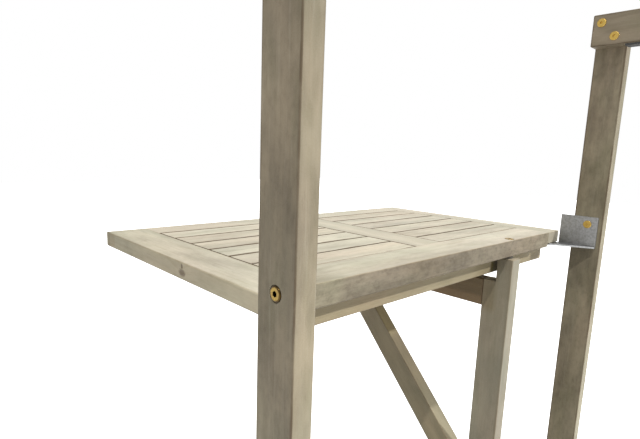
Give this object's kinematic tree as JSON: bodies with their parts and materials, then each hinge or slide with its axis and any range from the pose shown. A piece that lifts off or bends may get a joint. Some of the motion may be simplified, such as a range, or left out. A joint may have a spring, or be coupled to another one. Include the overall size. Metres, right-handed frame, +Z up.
{
  "type": "balcony railing bar table",
  "caption": "Wooden slatted table that hangs on a balcony railing from tall hooked posts, with a gate bracket that swings out under the tabletop.",
  "frame": {"origin": "on the tabletop's upper surface, halfway along its length and 201 mm behind its near edge (2 mm short of mid-depth)", "axes": "+Z up, +X along the tabletop's length, -Y towards the railing; the user sits on the +Y side"},
  "size_m": [0.751, 0.5814, 0.98],
  "materials": {
    "slat_wood": "weathered grey wash, open grain, satin",
    "rail_wood": "weathered grey wash, open grain, satin",
    "post_wood": "weathered grey wash, open grain, satin",
    "gate_wood": "weathered grey wash, open grain, satin",
    "under_wood": "weathered grey wash, open grain, satin",
    "dowel_wood": "plain beech",
    "brass": "lightly tarnished brass",
    "steel": "zinc plated",
    "rubber": "matt",
    "nylon": "matt"
  },
  "bodies": {
    "table": {"apron_far": "under_wood", "apron_near": "under_wood", "batten_left": "under_wood", "batten_middle": "under_wood", "batten_right": "under_wood", "bracket_screws": "steel", "cross_rail": "rail_wood", "end_rail_left": "rail_wood", "end_rail_right": "rail_wood", "far_rail": "rail_wood", "gate_pivot_bolt_bottom": "brass", "gate_pivot_bolt_top": "brass", "gate_rest_block": "under_wood", "gate_spacer_bottom": "nylon", "gate_spacer_top": "nylon", "gate_stop_block": "under_wood", "hook_arm_left": "post_wood", "hook_arm_right": "post_wood", "hook_bolts": "brass", "hook_cap_nuts": "brass", "hook_pads": "rubber", "hook_tongue_left": "post_wood", "hook_tongue_right": "post_wood", "lower_rail": "under_wood", "lower_rail_barrel_nuts": "steel", "lower_rail_bolts": "brass", "lower_rail_dowels": "dowel_wood", "near_rail": "rail_wood", "post_left": "post_wood", "post_pads": "rubber", "post_right": "post_wood", "slat_left_1": "slat_wood", "slat_left_2": "slat_wood", "slat_left_3": "slat_wood", "slat_left_4": "slat_wood", "slat_left_5": "slat_wood", "slat_left_6": "slat_wood", "slat_right_1": "slat_wood", "slat_right_2": "slat_wood", "slat_right_3": "slat_wood", "slat_right_4": "slat_wood", "slat_right_5": "slat_wood", "slat_right_6": "slat_wood", "table_bolt_left": "brass", "table_bolt_right": "brass", "table_bolt_screws": "brass", "table_bracket_left": "steel", "table_bracket_right": "steel", "underframe_screws": "steel"},
    "gate": {"gate_leg": "gate_wood", "gate_arm": "gate_wood", "gate_brace": "gate_wood", "gate_dowels": "dowel_wood", "gate_bush_top": "brass", "gate_bush_bottom": "brass"}
  },
  "joints": [
    {"name": "gate_swing", "type": "hinge", "parent": "table", "child": "gate", "pos_m": [0.1649, -0.1908, -0.283], "axis": [0, 0, 1], "range_deg": [0, 90]}
  ]
}
